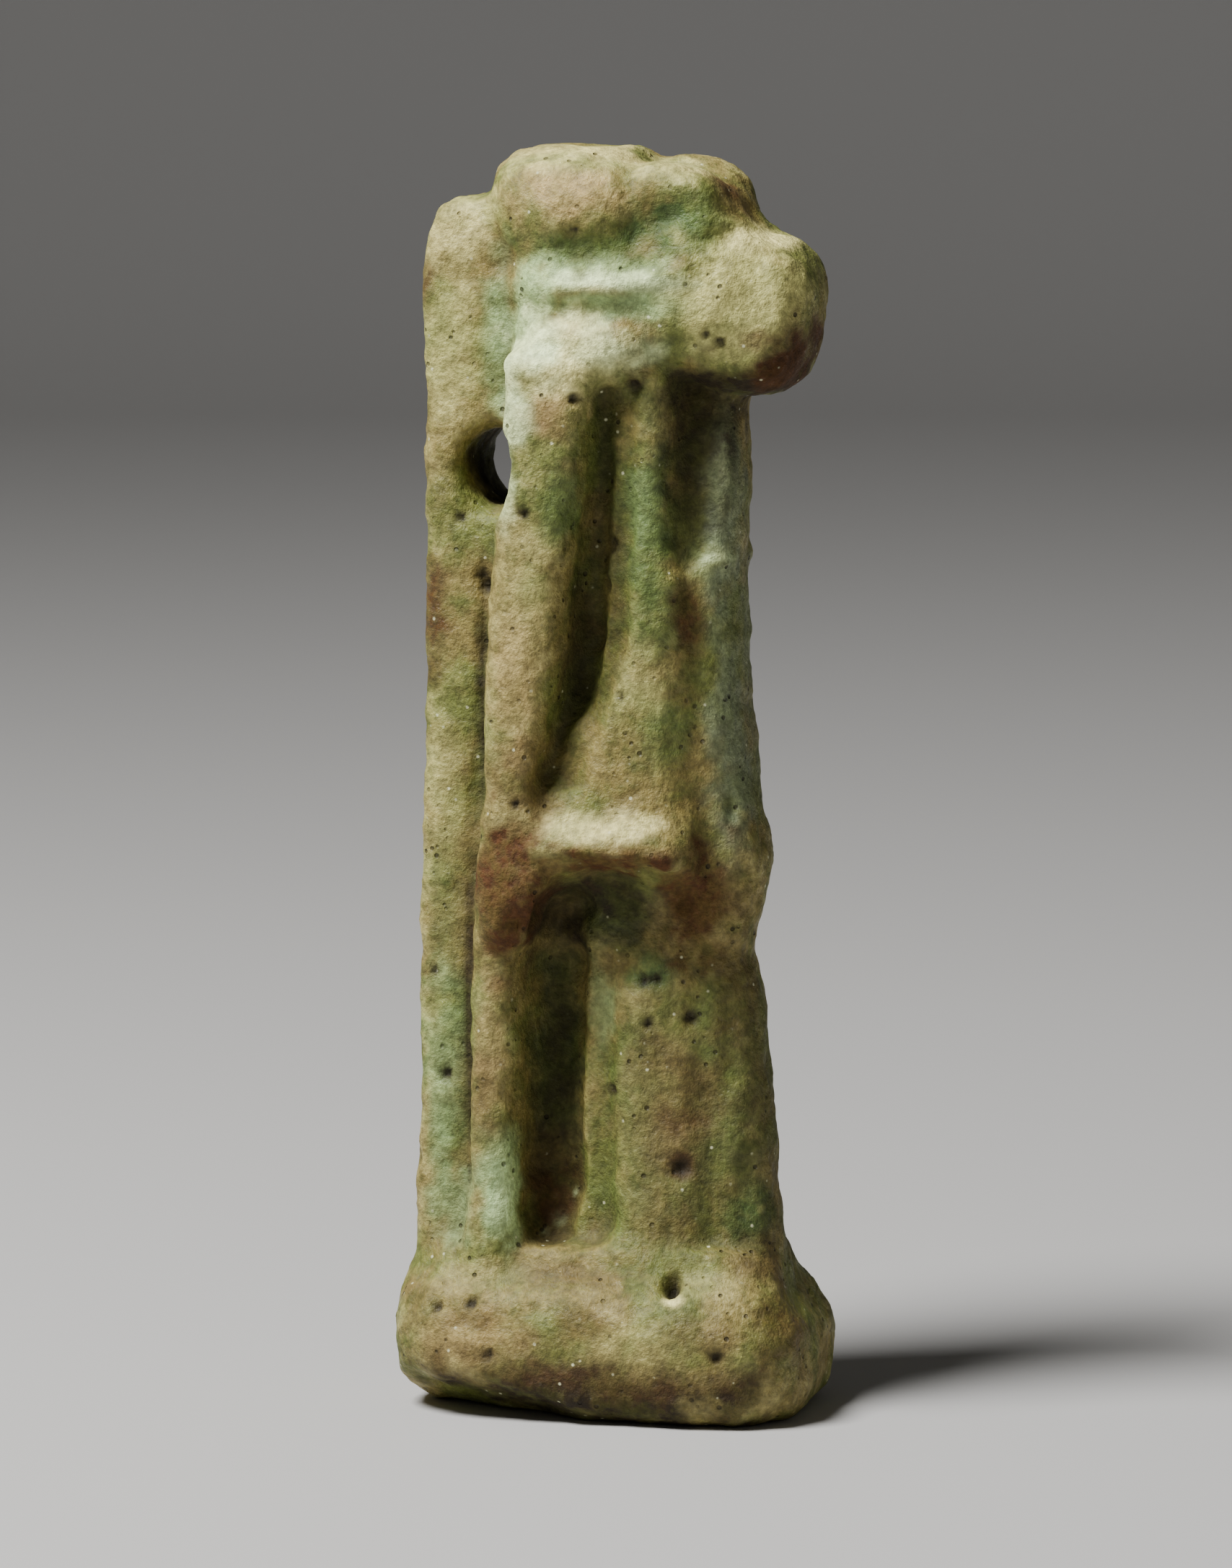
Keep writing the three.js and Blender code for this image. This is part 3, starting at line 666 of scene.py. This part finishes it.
def buildGround(values):
    # a floor that sweeps up into a wall far behind
    back, radius, steps = values["floorBack"], values["sweepRadius"], values["sweepSteps"]
    sweep = [(-values["floorFront"], 0.0), (back, 0.0)]
    for step in range(1, steps + 1):
        turn = math.radians(90 * step / steps)
        sweep.append((back + radius * math.sin(turn), radius - radius * math.cos(turn)))
    sweep.append((back + radius, values["wallTop"]))
    sides = (-values["halfWidth"], values["halfWidth"])
    work = bmesh.new()
    rows = [[work.verts.new((x, y, z)) for x in sides] for y, z in sweep]
    for near, far in zip(rows[:-1], rows[1:]):
        work.faces.new((near[0], near[1], far[1], far[0]))
    mesh = bpy.data.meshes.new("ground")
    work.to_mesh(mesh)
    work.free()
    mesh.shade_smooth()
    ground = bpy.data.objects.new("ground", mesh)
    bpy.context.scene.collection.objects.link(ground)
    ground.rotation_euler.z = math.radians(values["azimuth"])
    material = bpy.data.materials.new("groundPaper")
    material.use_nodes = True
    surface = material.node_tree.nodes["Principled BSDF"]
    surface.inputs["Base Color"].default_value = (*values["ground"], 1)
    surface.inputs["Roughness"].default_value = values["groundRoughness"]
    mesh.materials.append(material)


def cameraAxes(values):
    # across, up and towards the camera
    turn, rise = math.radians(values["azimuth"]), math.radians(values["elevation"])
    across = Vector((math.cos(turn), math.sin(turn), 0))
    toward = Vector((math.sin(turn) * math.cos(rise), -math.cos(turn) * math.cos(rise), math.sin(rise)))
    return across, toward.cross(across), toward


def addCamera(values):
    across, up, toward = cameraAxes(values)
    aim = (across * values["aimAcross"] + up * values["aimUp"]) * mm
    distance = values["frameHeight"] * values["lens"] / values["sensor"] * mm
    lens = bpy.data.cameras.new("camera")
    lens.lens = values["lens"]
    lens.sensor_width = values["sensor"]
    lens.clip_start = values["nearest"]
    camera = bpy.data.objects.new("camera", lens)
    bpy.context.scene.collection.objects.link(camera)
    camera.location = aim + toward * distance
    camera.rotation_euler = toward.to_track_quat("Z", "Y").to_euler()
    bpy.context.scene.camera = camera


def addLamp(values, name):
    middle = Vector((0, 0, values["litHeight"] * mm))
    offset = Vector()
    for axis, length in zip(cameraAxes(values), values[name + "Place"]):
        offset += axis * length
    lamp = bpy.data.lights.new(name + "Lamp", "AREA")
    lamp.shape = "DISK"
    lamp.size = values[name + "Size"]
    lamp.energy = values[name + "Power"]
    holder = bpy.data.objects.new(name + "Lamp", lamp)
    bpy.context.scene.collection.objects.link(holder)
    holder.location = middle + offset
    holder.rotation_euler = (-offset).to_track_quat("-Z", "Y").to_euler()


def addSky(values):
    world = bpy.data.worlds.new("softRoom")
    world.use_nodes = True
    background = world.node_tree.nodes["Background"]
    background.inputs["Color"].default_value = (*values["sky"], 1)
    background.inputs["Strength"].default_value = values["skyLight"]
    bpy.context.scene.world = world


buildGround(studio)
addCamera(studio)
addLamp(studio, "key")
addLamp(studio, "fill")
addSky(studio)
print("the studio is set")
